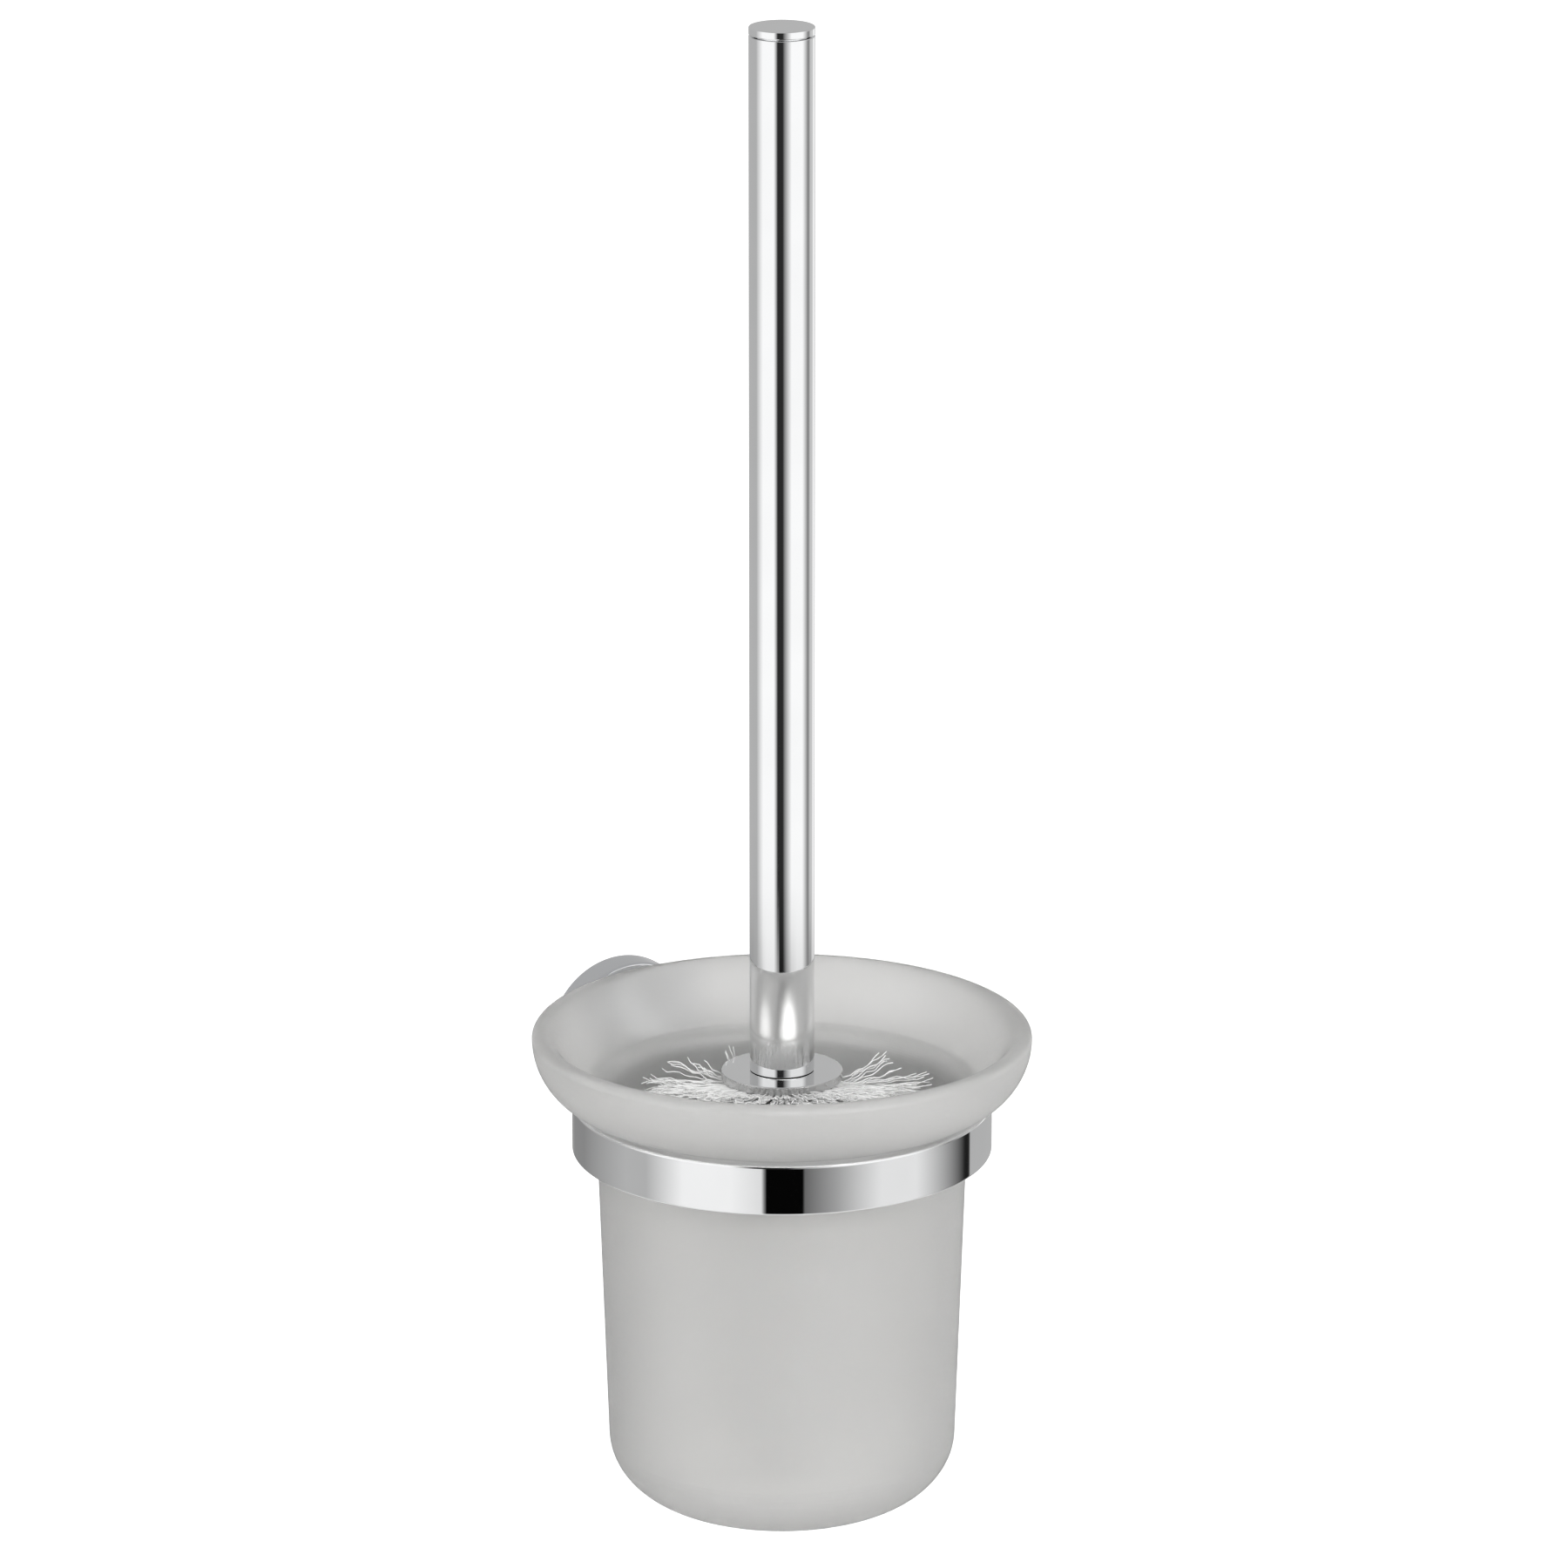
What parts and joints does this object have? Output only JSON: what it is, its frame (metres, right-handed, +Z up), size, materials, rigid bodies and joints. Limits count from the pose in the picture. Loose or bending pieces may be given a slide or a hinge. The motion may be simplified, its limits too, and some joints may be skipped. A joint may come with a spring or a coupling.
{
  "type": "toilet brush holder",
  "caption": "Wall-mounted toilet brush set: chrome ring on a round rosette, flared frosted glass tumbler, and a brush with a slim chrome rod handle and splash disc.",
  "frame": {"origin": "centre of the wall bracket's back face, in the plane of the wall", "axes": "+Y into the wall, +Z up along the rod, +X to the right for someone facing the wall"},
  "size_m": [0.1234, 0.1457, 0.373],
  "materials": {
    "chrome": "polished chrome plate",
    "frosted_glass": "satin, etched all over",
    "stainless": "turned",
    "zinc": "passivated zinc casting",
    "brass": "turned",
    "liner": "clear moulded",
    "core": "moulded",
    "bristle": "drawn filament"
  },
  "bodies": {
    "wall_mount": {"wall_bracket": "zinc", "wall_screw_upper": "stainless", "wall_screw_lower": "stainless", "rosette": "chrome", "rosette_set_screw": "stainless", "arm": "chrome", "arm_screw": "stainless", "ring_screw": "stainless", "holder_ring": "chrome", "ring_liner": "liner"},
    "tumbler": {"glass_tumbler": "frosted_glass"},
    "brush": {"handle_tube": "chrome", "handle_cap": "chrome", "handle_insert": "brass", "splash_disc": "chrome"},
    "brush_head": {"head_stud": "stainless", "head_core": "core", "bristle_row_1": "bristle", "bristle_row_2": "bristle", "bristle_row_3": "bristle", "bristle_row_4": "bristle", "bristle_row_5": "bristle", "bristle_row_6": "bristle", "bristle_row_7": "bristle", "bristle_row_8": "bristle", "bristle_end": "bristle"}
  },
  "joints": [
    {"name": "tumbler_lift", "type": "slide", "parent": "wall_mount", "child": "tumbler", "axis": [0, 0, 1], "range_m": [0, 0.115]},
    {"name": "brush_lift", "type": "slide", "parent": "tumbler", "child": "brush", "axis": [0, 0, 1], "range_m": [0, 0.13]},
    {"name": "head_unscrew", "type": "hinge", "parent": "brush", "child": "brush_head", "pos_m": [0, -0.084, 0], "axis": [0, 0, 1], "continuous": true}
  ]
}
